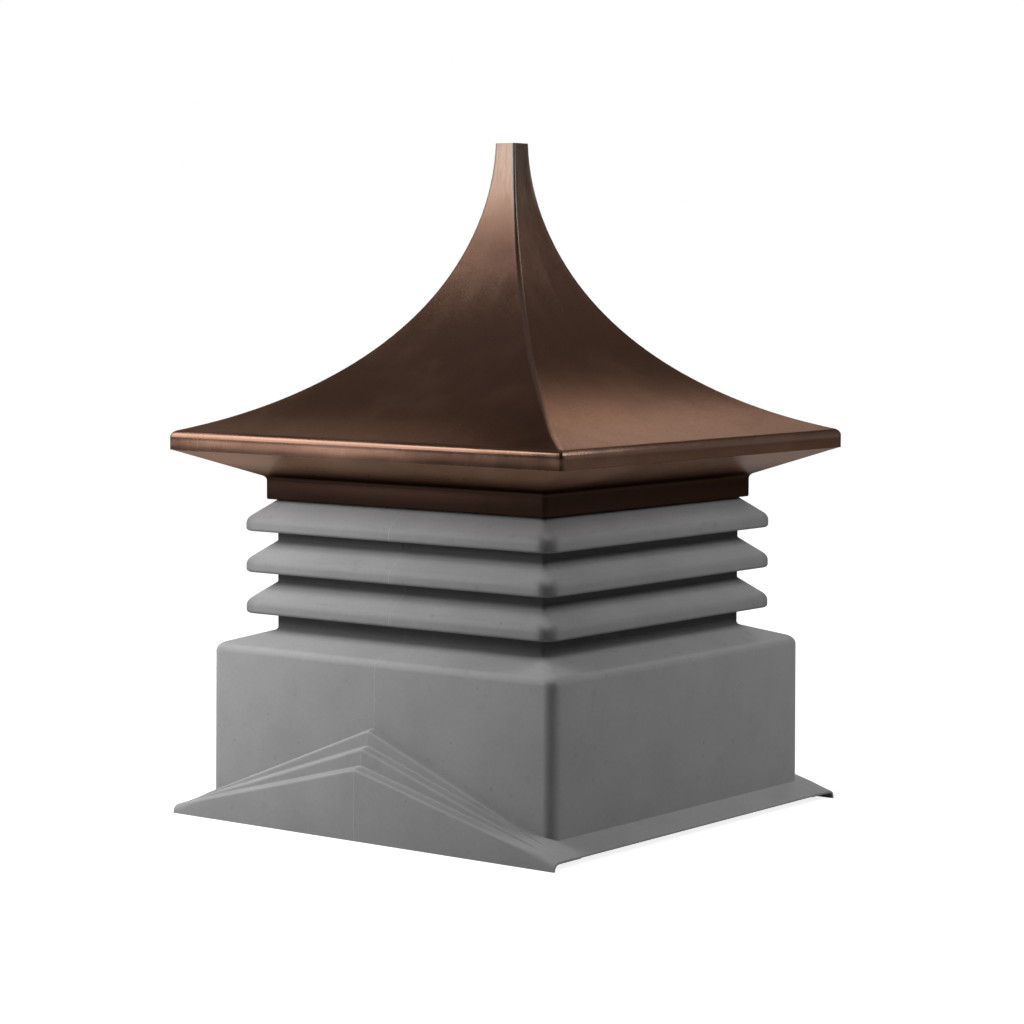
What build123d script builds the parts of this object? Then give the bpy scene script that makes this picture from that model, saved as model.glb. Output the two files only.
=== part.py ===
from build123d import *
import os
from math import atan, radians, sqrt, tan

# Square roof cupola for a ridge: a thin moulded body with a stepped ridge saddle and three louvre
# tiers, under a flared four-panel copper roof.  Millimetres, +Z up, origin at the middle of the
# footprint on the level of the gable feet.  -Y is the front gable side, and the ridge of the
# building's roof runs along Y.  A "half" is a distance from the middle to the flat of a side.

SIDES = ("front", "right", "back", "left")
QUARTER = 90

# Moulded body
WALL = 3.0
BOX_HALF = 336.8
BOX_DRAFT = 0.31
BOX_CORNER = 20.0
BOX_TOP = 256.0

# Ridge saddle: three steps, one for each roof pitch, that run together at the tips
STEP_REACHES = (352.5, 367.5, 383.5)
STEP_APEXES = (166.0, 140.0, 111.5)
STEP_PITCHES = (0.402, 0.334, 0.257)
LEDGE_FALL = 0.2
STEP_ROUNDS = (6.0, 6.0, 9.0)
EAVE_HALF = 373.0
EAVE_TOP = 31.0
EAVE_FALL = 0.52

# Shoulder
SHOULDER_TOP = 266.7
SHOULDER_ROUND = 14.0
NECK_HALF = 262.5
NECK_START = 289.1

# Louvre tiers
TIERS = ("lower", "middle", "upper")
TIER_PITCH = 64.8
FIRST_LIP = 316.3
LOUVRE_HALF = 303.0
LOUVRE_CORNER = 24.0
LIP_DROP = 3.7
NOSE_HEIGHT = 18.8
LOUVRE_SLOPE = 0.7315
NOSE_ROUND = 16.0
LIP_ROUND = 5.0
ROOT_ROUND = 8.0

# Copper collar and the ledge of the neck rim that it is fixed to
SHEET = 2.0
COLLAR_HALF = 275.5
COLLAR_CORNER = 4.0
COLLAR_FOOT = 495.0
COLLAR_TOP = 518.0
SEAT_LEVEL = 512.0

# Soffit, coved down to meet the collar
SOFFIT_MEET = 530.0
COVE_ROUND = 12.0

# Copper roof: fascia, rounded eaves and a slope that flares through these (half, level) points
FASCIA_HALF = 381.0
FASCIA_FOOT = 573.4
FASCIA_ROUND = 11.0
EAVES_MEET = 601.3
EAVES_SLOPE = 0.274
FLARE_POINTS = ((186.3, 700.0), (62.8, 860.0), (18.0, 1054.0))

# Finial seat in the roof's open tip
FINIAL_SEAT = (1008.0, 1054.0)
FINIAL_SEAT_HALVES = (20.0, 17.0)
FINIAL_HOLE = 22.0


def square_body(section, rounds=(), corner=0.0):
    """Body whose four sides follow one (half, level) section, meeting in mitred hips.

    rounds lists the (level, radius) of the section's rounded corners, and corner is the plan
    radius that its widest level is trimmed to.
    """
    widest = max(half for half, level in section)
    foot = section[0][1]
    with BuildPart() as body:
        for plane, mode in ((Plane.YZ, Mode.ADD), (Plane.XZ, Mode.INTERSECT)):
            with BuildSketch(plane) as side:
                with BuildLine():
                    Polyline(*section, *((-half, level) for half, level in reversed(section)), close=True)
                make_face()
                for level, radius in rounds:
                    fillet(side.vertices().filter_by_position(Axis.Y, level, level), radius)
            extrude(amount=widest, both=True, mode=mode)
        if corner:
            with BuildSketch(Plane.XY.offset(foot)):
                RectangleRounded(2 * widest, 2 * widest, corner)
            extrude(amount=section[-1][1] - foot, mode=Mode.INTERSECT)
    return body.part


def front_quarter(ring):
    """The front quarter of a ring, between the two mitre planes through the middle."""
    with BuildPart() as quarter:
        add(ring)
        split(bisect_by=Plane((0, 0, 0), z_dir=(1, 1, 0)), keep=Keep.BOTTOM)
        split(bisect_by=Plane((0, 0, 0), z_dir=(-1, 1, 0)), keep=Keep.BOTTOM)
    return quarter.part


def write(part, name):
    part.label = name
    export_step(part, f"parts/{name}.step")


def write_sides(quarter, name, lift=0.0):
    """One copy of a front quarter for each side, raised by lift."""
    for turn, side in enumerate(SIDES):
        with BuildPart() as piece:
            with Locations((0, 0, lift)):
                add(quarter, rotation=(0, 0, turn * QUARTER))
        write(piece.part, f"{name}_{side}")


def saddle_step(index, inset):
    """Gabled body of one step; its ridge falls outward and its outer edges are rounded."""
    reach = STEP_REACHES[index] - inset
    round_edge = STEP_ROUNDS[index] - inset
    previous = STEP_REACHES[index - 1] if index else BOX_HALF
    pitch = STEP_PITCHES[index]
    drop = inset * (sqrt(1 + pitch**2 + LEDGE_FALL**2) - LEDGE_FALL)
    ridge = STEP_APEXES[index] + LEDGE_FALL * previous - drop
    tip = ridge - pitch * EAVE_HALF
    with BuildPart() as step:
        with BuildSketch(Plane.XZ):
            with BuildLine():
                Polyline(
                    (-EAVE_HALF, 0), (EAVE_HALF, 0), (EAVE_HALF, tip), (0, ridge),
                    (-EAVE_HALF, tip), close=True,
                )
            make_face()
        extrude(amount=reach * sqrt(1 + LEDGE_FALL**2), dir=(0, -1, -LEDGE_FALL))
        end_edges = step.edges().group_by(Axis.Y)[0]
        fillet(end_edges.sort_by(Axis.Z)[-2:], round_edge)
    return step.part


def saddle(inset):
    """Front half of the flared foot; inset is 0 for its outside and the wall for its inside."""
    eave_ridge = EAVE_TOP + EAVE_FALL * BOX_HALF - inset * sqrt(1 + EAVE_FALL**2)
    edge = eave_ridge - EAVE_FALL * EAVE_HALF
    with BuildPart() as foot:
        for index in range(len(STEP_REACHES)):
            add(saddle_step(index, inset))
        with BuildSketch(Plane.XZ):
            with BuildLine():
                Polyline(
                    (-EAVE_HALF, 0), (EAVE_HALF, 0), (EAVE_HALF, edge), (0, eave_ridge),
                    (-EAVE_HALF, edge), close=True,
                )
            make_face()
        extrude(amount=STEP_REACHES[-1], mode=Mode.INTERSECT)
    return foot.part


def roof_sheet():
    """Closed outline of the bent roof sheet: fascia, rounded eaves and the flared slope."""
    slope = atan(EAVES_SLOPE)
    run = FASCIA_ROUND * tan((radians(QUARTER) - slope) / 2)
    meet = Vector(FASCIA_HALF, EAVES_MEET)
    uphill = Vector(-1, EAVES_SLOPE).normalized()
    with BuildLine() as outline:
        Line((FASCIA_HALF, FASCIA_FOOT), meet - Vector(0, run))
        bend = RadiusArc(meet - Vector(0, run), meet + uphill * run, -FASCIA_ROUND)
        for point in FLARE_POINTS:
            bend = TangentArc(bend @ 1, point, tangent=bend % 1)
        offset(amount=SHEET, side=Side.LEFT)
    return outline.line


os.makedirs("parts", exist_ok=True)

# Flared foot and box walls
with BuildPart() as base:
    for turn in (0, 180):
        add(saddle(0), rotation=(0, 0, turn))
    with BuildSketch():
        RectangleRounded(2 * BOX_HALF, 2 * BOX_HALF, BOX_CORNER)
    extrude(amount=BOX_TOP, taper=BOX_DRAFT)
    for turn in (0, 180):
        add(saddle(WALL), rotation=(0, 0, turn), mode=Mode.SUBTRACT)
    with BuildSketch():
        RectangleRounded(2 * (BOX_HALF - WALL), 2 * (BOX_HALF - WALL), BOX_CORNER - WALL)
    extrude(amount=BOX_TOP, taper=BOX_DRAFT, mode=Mode.SUBTRACT)

gable_wall = front_quarter(base.part)
for side, turn in (("front", 0), ("back", 180)):
    with BuildPart() as wall:
        add(gable_wall, rotation=(0, 0, turn))
    write(wall.part, f"gable_wall_{side}")

with BuildPart() as turned_base:
    add(base.part, rotation=(0, 0, -QUARTER))
eave_side = front_quarter(turned_base.part)
wall_plane = Plane((0, -BOX_HALF, 0), z_dir=(0, -1, 0))
for name, keep in (("eave_wall", Keep.BOTTOM), ("eave_flange", Keep.TOP)):
    with BuildPart() as piece:
        add(eave_side)
        split(bisect_by=wall_plane, keep=keep)
    for side, turn in (("right", QUARTER), ("left", -QUARTER)):
        with BuildPart() as placed:
            add(piece.part, rotation=(0, 0, turn))
        write(placed.part, f"{name}_{side}")

# Louvre tiers: band, underside, nose and sloped back, the same on each side and at each level
slope_rise = LOUVRE_SLOPE * (LOUVRE_HALF - NECK_HALF)
slope_drop = WALL * (sqrt(1 + LOUVRE_SLOPE**2) - LOUVRE_SLOPE)
nose_top = FIRST_LIP + NOSE_HEIGHT
slope_top = nose_top + slope_rise
tier_top = slope_top + ROOT_ROUND * tan((radians(QUARTER) - atan(LOUVRE_SLOPE)) / 2)
tier_foot = tier_top - TIER_PITCH
louvre_outside = square_body(
    (
        (NECK_HALF, tier_foot), (NECK_HALF, FIRST_LIP - LIP_DROP), (LOUVRE_HALF, FIRST_LIP),
        (LOUVRE_HALF, nose_top), (NECK_HALF, slope_top), (NECK_HALF, tier_top),
    ),
    rounds=((FIRST_LIP, LIP_ROUND), (nose_top, NOSE_ROUND), (slope_top, ROOT_ROUND)),
    corner=LOUVRE_CORNER,
)
louvre_inside = square_body(
    (
        (NECK_HALF - WALL, tier_foot), (NECK_HALF - WALL, FIRST_LIP - LIP_DROP + WALL),
        (LOUVRE_HALF - WALL, FIRST_LIP + WALL), (LOUVRE_HALF - WALL, nose_top - slope_drop),
        (NECK_HALF - WALL, slope_top - slope_drop), (NECK_HALF - WALL, tier_top),
    ),
    rounds=((nose_top - slope_drop, NOSE_ROUND - WALL), (slope_top - slope_drop, ROOT_ROUND)),
    corner=LOUVRE_CORNER - WALL,
)
with BuildPart() as louvre:
    add(louvre_outside)
    add(louvre_inside, mode=Mode.SUBTRACT)
louvre_side = front_quarter(louvre.part)
for index, tier in enumerate(TIERS):
    write_sides(louvre_side, f"louvre_{tier}", lift=index * TIER_PITCH)

# Shoulder from the top of the box walls to the neck
box_narrowing = BOX_TOP * tan(radians(BOX_DRAFT))
shoulder_half = BOX_HALF - box_narrowing
shoulder_corner = BOX_CORNER - box_narrowing
shoulder_slope = (NECK_START - SHOULDER_TOP) / (shoulder_half - NECK_HALF)
shoulder_drop = WALL * (sqrt(1 + shoulder_slope**2) - shoulder_slope)
with BuildPart() as shoulder:
    for inset, drop in ((0, 0), (WALL, shoulder_drop)):
        body = square_body(
            (
                (shoulder_half - inset, BOX_TOP), (shoulder_half - inset, SHOULDER_TOP - drop),
                (NECK_HALF - inset, NECK_START - drop), (NECK_HALF - inset, tier_foot),
            ),
            rounds=((SHOULDER_TOP - drop, SHOULDER_ROUND - inset),),
            corner=shoulder_corner - inset,
        )
        add(body, mode=Mode.SUBTRACT if inset else Mode.ADD)
write_sides(front_quarter(shoulder.part), "shoulder")

# Neck rim that the roof's collar is fixed to
rim_foot = tier_top + TIER_PITCH * (len(TIERS) - 1)
ledge_half = COLLAR_HALF - SHEET
with BuildPart() as rim:
    with BuildSketch(Plane.XY.offset(rim_foot)):
        Rectangle(2 * NECK_HALF, 2 * NECK_HALF)
    extrude(amount=COLLAR_TOP - rim_foot)
    with BuildSketch(Plane.XY.offset(SEAT_LEVEL)):
        RectangleRounded(2 * ledge_half, 2 * ledge_half, COLLAR_CORNER - SHEET)
    extrude(amount=WALL)
    with BuildSketch(Plane.XY.offset(rim_foot)):
        Rectangle(2 * (NECK_HALF - WALL), 2 * (NECK_HALF - WALL))
    extrude(amount=COLLAR_TOP - rim_foot, mode=Mode.SUBTRACT)
write_sides(front_quarter(rim.part), "neck_rim")

# Copper collar
with BuildPart() as collar:
    with BuildSketch(Plane.XY.offset(COLLAR_FOOT)):
        RectangleRounded(2 * COLLAR_HALF, 2 * COLLAR_HALF, COLLAR_CORNER)
        RectangleRounded(2 * ledge_half, 2 * ledge_half, COLLAR_CORNER - SHEET, mode=Mode.SUBTRACT)
    extrude(amount=COLLAR_TOP - COLLAR_FOOT)
write_sides(front_quarter(collar.part), "collar")

# Soffit: a cove on top of the collar, then a slope out to the fascia
soffit_edge = FASCIA_HALF - SHEET
soffit_slope = (FASCIA_FOOT - SOFFIT_MEET) / (soffit_edge - COLLAR_HALF)
soffit_rise = SHEET * sqrt(1 + soffit_slope**2)
soffit_top = FASCIA_FOOT + soffit_rise
inner_meet = SOFFIT_MEET + soffit_rise - SHEET * soffit_slope
soffit_outside = square_body(
    (
        (COLLAR_HALF, COLLAR_TOP), (COLLAR_HALF, SOFFIT_MEET), (soffit_edge, FASCIA_FOOT),
        (soffit_edge, soffit_top),
    ),
    rounds=((SOFFIT_MEET, COVE_ROUND),),
)
soffit_inside = square_body(
    ((ledge_half, COLLAR_TOP), (ledge_half, inner_meet), (soffit_edge, soffit_top)),
    rounds=((inner_meet, COVE_ROUND + SHEET),),
)
with BuildPart() as soffit:
    add(soffit_outside)
    add(soffit_inside, mode=Mode.SUBTRACT)
write_sides(front_quarter(soffit.part), "soffit")

# Roof panels: one bent sheet a side, mitred at the hips, with its fascia
with BuildPart() as long_sheet:
    with BuildSketch(Plane((0, 0, 0), x_dir=(0, -1, 0), z_dir=(-1, 0, 0))):
        add(roof_sheet())
        make_face()
    extrude(amount=FASCIA_HALF + SHEET, both=True)
roof_panel = front_quarter(long_sheet.part)
write_sides(roof_panel, "roof_panel")

# Finial seat, held by the four panels in the open tip
with BuildPart() as finial_seat:
    for level, half in zip(FINIAL_SEAT, FINIAL_SEAT_HALVES):
        with BuildSketch(Plane.XY.offset(level)):
            Rectangle(2 * half, 2 * half)
    loft(ruled=True)
    for turn in range(len(SIDES)):
        add(roof_panel, rotation=(0, 0, turn * QUARTER), mode=Mode.SUBTRACT)
    with BuildSketch(Plane.XY.offset(FINIAL_SEAT[0])):
        Rectangle(FINIAL_HOLE, FINIAL_HOLE)
    extrude(amount=FINIAL_SEAT[1] - FINIAL_SEAT[0], mode=Mode.SUBTRACT)
write(finial_seat.part, "finial_seat")
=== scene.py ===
import logging
import math
from dataclasses import dataclass
from enum import Enum

import bmesh
import bpy
import numpy as np
from mathutils import Matrix, Vector, noise


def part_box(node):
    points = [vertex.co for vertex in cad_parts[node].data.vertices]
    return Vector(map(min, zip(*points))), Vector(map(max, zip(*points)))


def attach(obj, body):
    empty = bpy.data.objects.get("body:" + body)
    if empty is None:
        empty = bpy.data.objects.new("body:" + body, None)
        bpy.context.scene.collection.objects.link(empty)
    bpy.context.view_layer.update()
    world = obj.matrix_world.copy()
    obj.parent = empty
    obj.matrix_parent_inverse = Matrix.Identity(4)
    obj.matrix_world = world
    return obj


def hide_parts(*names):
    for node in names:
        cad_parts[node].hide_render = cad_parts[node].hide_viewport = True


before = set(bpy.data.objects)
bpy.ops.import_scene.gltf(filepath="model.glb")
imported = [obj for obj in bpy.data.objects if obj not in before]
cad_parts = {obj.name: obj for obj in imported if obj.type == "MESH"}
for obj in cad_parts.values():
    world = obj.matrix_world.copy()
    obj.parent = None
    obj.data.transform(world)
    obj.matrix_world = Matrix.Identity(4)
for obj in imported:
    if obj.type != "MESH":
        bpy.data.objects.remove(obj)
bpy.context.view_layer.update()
LOG = logging.getLogger("cupola")

Point = tuple[float, float]
Colour = tuple[float, float, float]
Corner = tuple[float, float, float]
Wave = tuple[float, float, float]

WELD = 2e-6
TINY = 1e-6
SIDE_SHARE: Point = (0.48, 0.48)
STRAIGHT = math.radians(89)
QUARTER = math.pi / 2
LEAST_CORNER = 0.002


class Side(Enum):
    """A side of the cupola, as quarter turns about Z from the front, which faces -Y."""

    FRONT = 0
    RIGHT = 1
    BACK = 2
    LEFT = 3

    @property
    def label(self) -> str:
        """The side's name as the CAD nodes spell it."""
        return self.name.lower()

    @property
    def turn(self) -> float:
        """The side's turn about Z, in radians."""
        return self.value * QUARTER


class Tier(Enum):
    """The louvre tiers, from the lowest up."""

    LOWER = "lower"
    MIDDLE = "middle"
    UPPER = "upper"


# ---------------------------------------------------------------- shapes in section


def rounded_path(
    corners: list[Corner], steps: int, last_share: Point = SIDE_SHARE,
) -> list[Point]:
    """Rounds the corners of an open path.

    Args:
        corners: (across, level, radius) of each corner; the two ends stay sharp.
        steps: straight runs in each rounded corner.
        last_share: how much of the sides before and after the last corner its rounding may take.

    Returns:
        The path's points, steps + 1 of them for every inner corner.
    """
    path = [corners[0][:2]]
    for before, corner, after in zip(corners, corners[1:], corners[2:]):
        apex = Vector(corner[:2])
        back = Vector(before[:2]) - apex
        ahead = Vector(after[:2]) - apex
        half_angle = back.angle(ahead, math.pi) / 2
        before_share, after_share = last_share if after is corners[-1] else SIDE_SHARE
        reach = min(before_share * back.length, after_share * ahead.length)
        run = max(min(corner[2] / max(math.tan(half_angle), TINY), reach), TINY)
        start = apex + back.normalized() * run
        end = apex + ahead.normalized() * run
        if half_angle > STRAIGHT:
            path += [tuple(start.lerp(end, step / steps)) for step in range(steps + 1)]
            continue
        centre = apex + (start + end - 2 * apex).normalized() * run / math.cos(half_angle)
        turn = (start - centre).angle_signed(end - centre)
        for step in range(steps + 1):
            arm = Matrix.Rotation(-turn * step / steps, 2) @ (start - centre)
            path.append(tuple(centre + arm))
    path.append(corners[-1][:2])
    return path


def smooth_step(low: float, high: float, value: float) -> float:
    """A soft ramp from 0 at low to 1 at high."""
    t = min(max((value - low) / (high - low), 0.0), 1.0)
    return t * t * (3 - 2 * t)


# ---------------------------------------------------------------- meshes


def finish_piece(
    mesh: bpy.types.Mesh, name: str, material: bpy.types.Material, replaced: list[str],
    sharp: float = 34.0,
) -> bpy.types.Object:
    """Closes, shades and dresses a mesh and makes it a piece of the cupola.

    Args:
        mesh: the piece's mesh, in the cupola's own frame.
        name: the piece's name.
        material: its finish.
        replaced: the CAD nodes that the piece stands for.
        sharp: the angle in degrees past which an edge is left sharp.

    Returns:
        The linked object.
    """
    work = bmesh.new()
    work.from_mesh(mesh)
    bmesh.ops.remove_doubles(work, verts=work.verts, dist=WELD)
    inner = [face for face in work.faces if sum(len(edge.link_faces) > 2 for edge in face.edges) > 1]
    bmesh.ops.delete(work, geom=inner, context="FACES")
    bmesh.ops.recalc_face_normals(work, faces=work.faces)
    work.to_mesh(mesh)
    work.free()
    mesh.name = name
    mesh.polygons.foreach_set("use_smooth", [True] * len(mesh.polygons))
    mesh.set_sharp_from_angle(angle=math.radians(sharp))
    mesh.materials.clear()
    mesh.materials.append(material)
    piece = bpy.data.objects.new(name, mesh)
    bpy.context.scene.collection.objects.link(piece)
    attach(piece, "root")
    if replaced:
        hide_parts(*replaced)
    LOG.info("%s: %d faces, stands for %s", name, len(mesh.polygons), ", ".join(replaced) or "itself")
    return piece


def grid_mesh(rows: np.ndarray, ring: bool) -> bpy.types.Mesh:
    """Skins a grid of closed sections.

    Args:
        rows: stations by section points by 3; each section is a closed loop.
        ring: whether the last station joins the first; otherwise both ends get a cap.

    Returns:
        A closed mesh.
    """
    stations, around = rows.shape[:2]
    faces = []
    for k in range(stations if ring else stations - 1):
        here, there = k * around, (k + 1) % stations * around
        for j in range(around):
            after = (j + 1) % around
            faces.append((here + j, there + j, there + after, here + after))
    if not ring:
        faces.append(tuple(range(around)))
        faces.append(tuple(reversed(range((stations - 1) * around, stations * around))))
    mesh = bpy.data.meshes.new("grid")
    mesh.from_pydata([tuple(map(float, v)) for v in rows.reshape(-1, 3)], [], faces)
    return mesh


def turned(rows: np.ndarray, angle: float) -> np.ndarray:
    """The same points, turned about Z by an angle in radians."""
    turn = np.array(Matrix.Rotation(angle, 3, "Z"))
    return rows @ turn.T


# ---------------------------------------------------------------- node trees


class NodeMaker:
    """Adds and joins nodes of one tree in short calls."""

    # A Mix node's sockets for colours have names that its other types share, so they go by number.
    MIX_COLOURS = (6, 7)
    MIX_RESULT = 2

    def __init__(self, tree: bpy.types.NodeTree) -> None:
        """Keeps the tree that the nodes go into."""
        self.tree = tree

    def add(self, kind: str, inputs: dict | None = None, **settings: object) -> bpy.types.Node:
        """Adds a node.

        Args:
            kind: the node's type.
            inputs: values or output sockets for its inputs, by name or number.
            settings: properties of the node.

        Returns:
            The new node.
        """
        node = self.tree.nodes.new(kind)
        for key, value in settings.items():
            setattr(node, key, value)
        for key, value in (inputs or {}).items():
            self.feed(node.inputs[key], value)
        return node

    def feed(self, socket: bpy.types.NodeSocket, value: object) -> None:
        """Joins an output to an input, or sets the input's value.

        Args:
            socket: the input.
            value: an output socket, or a plain value.
        """
        if isinstance(value, bpy.types.NodeSocket):
            self.tree.links.new(value, socket)
        else:
            socket.default_value = value

    def math(self, operation: str, *values: object) -> bpy.types.NodeSocket:
        """The output of a Math node."""
        inputs = dict(enumerate(values))
        return self.add("ShaderNodeMath", inputs, operation=operation).outputs[0]

    def scaled(self, value: object, gain: object, offset: object) -> bpy.types.NodeSocket:
        """A value times a gain, plus an offset."""
        return self.math("MULTIPLY_ADD", value, gain, offset)

    def times(self, first: object, second: object) -> bpy.types.NodeSocket:
        """The product of two values."""
        return self.math("MULTIPLY", first, second)

    def without(self, mask: object) -> bpy.types.NodeSocket:
        """The part that a mask leaves free."""
        return self.math("SUBTRACT", 1.0, mask)

    def ramp(self, value: object, low: float, high: float) -> bpy.types.NodeSocket:
        """A soft ramp from 0 at low to 1 at high.

        Args:
            value: what the ramp reads.
            low: where it gives 0.
            high: where it gives 1, above or below low.

        Returns:
            The ramp's output.
        """
        node = self.add("ShaderNodeMapRange", interpolation_type="SMOOTHSTEP")
        self.feed(node.inputs["Value"], value)
        node.inputs["From Min"].default_value = low
        node.inputs["From Max"].default_value = high
        return node.outputs["Result"]

    def mix(self, factor: object, first: object, second: object) -> bpy.types.NodeSocket:
        """Lays one colour over another.

        Args:
            factor: how much of the second colour shows.
            first: the colour beneath, as a socket or a plain colour.
            second: the plain colour, or the socket, that is laid over it.

        Returns:
            The mixed colour.
        """
        node = self.add("ShaderNodeMix", data_type="RGBA")
        self.feed(node.inputs["Factor"], factor)
        for number, colour in zip(self.MIX_COLOURS, (first, second)):
            plain = isinstance(colour, tuple)
            self.feed(node.inputs[number], (*colour, 1.0) if plain else colour)
        return node.outputs[self.MIX_RESULT]

    def noise(self, vector: object, scale: float, detail: float, rough: float) -> bpy.types.NodeSocket:
        """The value of a Noise Texture."""
        inputs = {"Vector": vector, "Scale": scale, "Detail": detail, "Roughness": rough}
        return self.add("ShaderNodeTexNoise", inputs).outputs["Fac"]


class RingTree:
    """Geometry Nodes tree that carries a section round four sides and repeats it upward.

    The object that it works on is the section: a closed loop of points, each as its distance
    from the middle, its corner's radius in plan, and its level.
    """

    def __init__(self) -> None:
        """Builds the tree once for every ring."""
        self.tree = bpy.data.node_groups.new("four_sided_ring", "GeometryNodeTree")
        face = self.tree.interface
        face.new_socket("Geometry", in_out="INPUT", socket_type="NodeSocketGeometry")
        for name in ("Corner Steps", "Repeats"):
            face.new_socket(name, in_out="INPUT", socket_type="NodeSocketInt")
        face.new_socket("Pitch", in_out="INPUT", socket_type="NodeSocketFloat")
        face.new_socket("Finish", in_out="INPUT", socket_type="NodeSocketMaterial")
        face.new_socket("Geometry", in_out="OUTPUT", socket_type="NodeSocketGeometry")
        self._wire()

    def _wire(self) -> None:
        """Joins the tree's nodes."""
        make = NodeMaker(self.tree)
        given = make.add("NodeGroupInput").outputs
        section = make.add("GeometryNodeAttributeDomainSize", {0: given["Geometry"]}).outputs["Point Count"]
        per_corner = make.math("ADD", given["Corner Steps"], 1.0)
        columns = make.math("MULTIPLY_ADD", per_corner, 4.0, 1.0)
        grid = make.add("GeometryNodeMeshGrid", {"Vertices X": columns, "Vertices Y": section})
        index = make.add("GeometryNodeInputIndex").outputs[0]
        column = make.math("FLOOR", make.math("DIVIDE", index, section))
        place = make.math("SUBTRACT", index, make.math("MULTIPLY", column, section))
        quarter = make.math("FLOOR", make.math("DIVIDE", column, per_corner))
        along = make.math("SUBTRACT", column, make.math("MULTIPLY", quarter, per_corner))
        angle = make.times(make.math("DIVIDE", along, given["Corner Steps"]), QUARTER)
        sample = make.add("GeometryNodeSampleIndex", data_type="FLOAT_VECTOR", domain="POINT")
        make.feed(sample.inputs["Geometry"], given["Geometry"])
        make.feed(sample.inputs["Value"], make.add("GeometryNodeInputPosition").outputs[0])
        make.feed(sample.inputs["Index"], place)
        half, corner, level = make.add("ShaderNodeSeparateXYZ", {0: sample.outputs[0]}).outputs
        centre = make.math("SUBTRACT", half, corner)
        x = make.math("MULTIPLY_ADD", corner, make.math("COSINE", angle), centre)
        y = make.math("MULTIPLY_ADD", corner, make.math("SINE", angle), centre)
        point = make.add("ShaderNodeCombineXYZ", {0: x, 1: y, 2: level}).outputs[0]
        turn = make.add("ShaderNodeVectorRotate", {"Vector": point}, rotation_type="Z_AXIS")
        make.feed(turn.inputs["Angle"], make.times(quarter, QUARTER))
        placed = make.add("GeometryNodeSetPosition", {
            "Geometry": grid.outputs[0], "Position": turn.outputs[0],
        })
        merged = make.add("GeometryNodeMergeByDistance", {"Geometry": placed.outputs[0], "Distance": WELD})
        rise = make.add("ShaderNodeCombineXYZ", {2: given["Pitch"]}).outputs[0]
        line = make.add("GeometryNodeMeshLine", {"Count": given["Repeats"], "Offset": rise})
        repeat = make.add("GeometryNodeInstanceOnPoints", {
            "Points": line.outputs[0], "Instance": merged.outputs[0],
        })
        real = make.add("GeometryNodeRealizeInstances", {0: repeat.outputs[0]})
        dressed = make.add("GeometryNodeSetMaterial", {
            "Geometry": real.outputs[0], "Material": given["Finish"],
        })
        make.add("NodeGroupOutput", {0: dressed.outputs[0]})

    def mesh(
        self, section: list[Corner], material: bpy.types.Material,
        corner_steps: int = 10, repeats: int = 1, pitch: float = 0.0,
    ) -> bpy.types.Mesh:
        """Runs the tree on a section.

        Args:
            section: (half, corner radius, level) of each point of the closed loop.
            material: the ring's finish.
            corner_steps: straight runs in each corner.
            repeats: how many rings stand above one another.
            pitch: the distance between them.

        Returns:
            The finished plain mesh.
        """
        loop = bpy.data.meshes.new("section")
        loop.from_pydata([*section, section[0]], [], [])
        holder = bpy.data.objects.new("section", loop)
        bpy.context.scene.collection.objects.link(holder)
        return run_tree(holder, self.tree, {
            "Corner Steps": corner_steps, "Repeats": repeats, "Pitch": pitch, "Finish": material,
        })


def run_tree(
    holder: bpy.types.Object, tree: bpy.types.NodeTree, values: dict[str, object],
) -> bpy.types.Mesh:
    """Evaluates a Geometry Nodes tree on an object, and removes the modifier and the object.

    Args:
        holder: the object that carries the tree's input geometry.
        tree: the tree.
        values: the inputs' values by name.

    Returns:
        The plain mesh that the tree makes.
    """
    modifier = holder.modifiers.new("form", "NODES")
    modifier.node_group = tree
    for item in tree.interface.items_tree:
        if item.in_out == "INPUT" and item.name in values:
            modifier[item.identifier] = values[item.name]
    graph = bpy.context.evaluated_depsgraph_get()
    mesh = bpy.data.meshes.new_from_object(holder.evaluated_get(graph), depsgraph=graph)
    holder.modifiers.remove(modifier)
    bpy.data.objects.remove(holder)
    return mesh


# ---------------------------------------------------------------- finishes


class EffectGroup:
    """A shader node group with named inputs and outputs, built once and used by several finishes."""

    def __init__(self, name: str, inputs: dict[str, float], outputs: dict[str, str]) -> None:
        """Makes the empty group.

        Args:
            name: the group's name.
            inputs: the float inputs and their usual values.
            outputs: the outputs and their socket types.
        """
        self.tree = bpy.data.node_groups.new(name, "ShaderNodeTree")
        for key, value in inputs.items():
            socket = self.tree.interface.new_socket(key, in_out="INPUT", socket_type="NodeSocketFloat")
            socket.default_value = value
        for key, kind in outputs.items():
            self.tree.interface.new_socket(key, in_out="OUTPUT", socket_type=kind)
        self.make = NodeMaker(self.tree)
        self.given = self.make.add("NodeGroupInput").outputs
        self.result = self.make.add("NodeGroupOutput").inputs
        self.place = self.make.add("ShaderNodeTexCoord").outputs["Object"]


class Mottle(EffectGroup):
    """Cloudy colour, fine speckle and a fine skin, as on a moulded or rolled surface."""

    def __init__(self) -> None:
        """Builds the group."""
        super().__init__(
            "mottle", {"Cloud Scale": 9.0, "Speckle Scale": 260.0, "Skin Scale": 900.0},
            {"Cloud": "NodeSocketFloat", "Speckle": "NodeSocketFloat", "Skin": "NodeSocketFloat"},
        )
        for scale, output, detail in (
            ("Cloud Scale", "Cloud", 5.0), ("Speckle Scale", "Speckle", 2.0), ("Skin Scale", "Skin", 2.0),
        ):
            texture = self.make.add("ShaderNodeTexNoise", {
                "Vector": self.place, "Scale": self.given[scale], "Detail": detail, "Roughness": 0.55,
            })
            self.make.feed(self.result[output], texture.outputs["Fac"])


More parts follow.
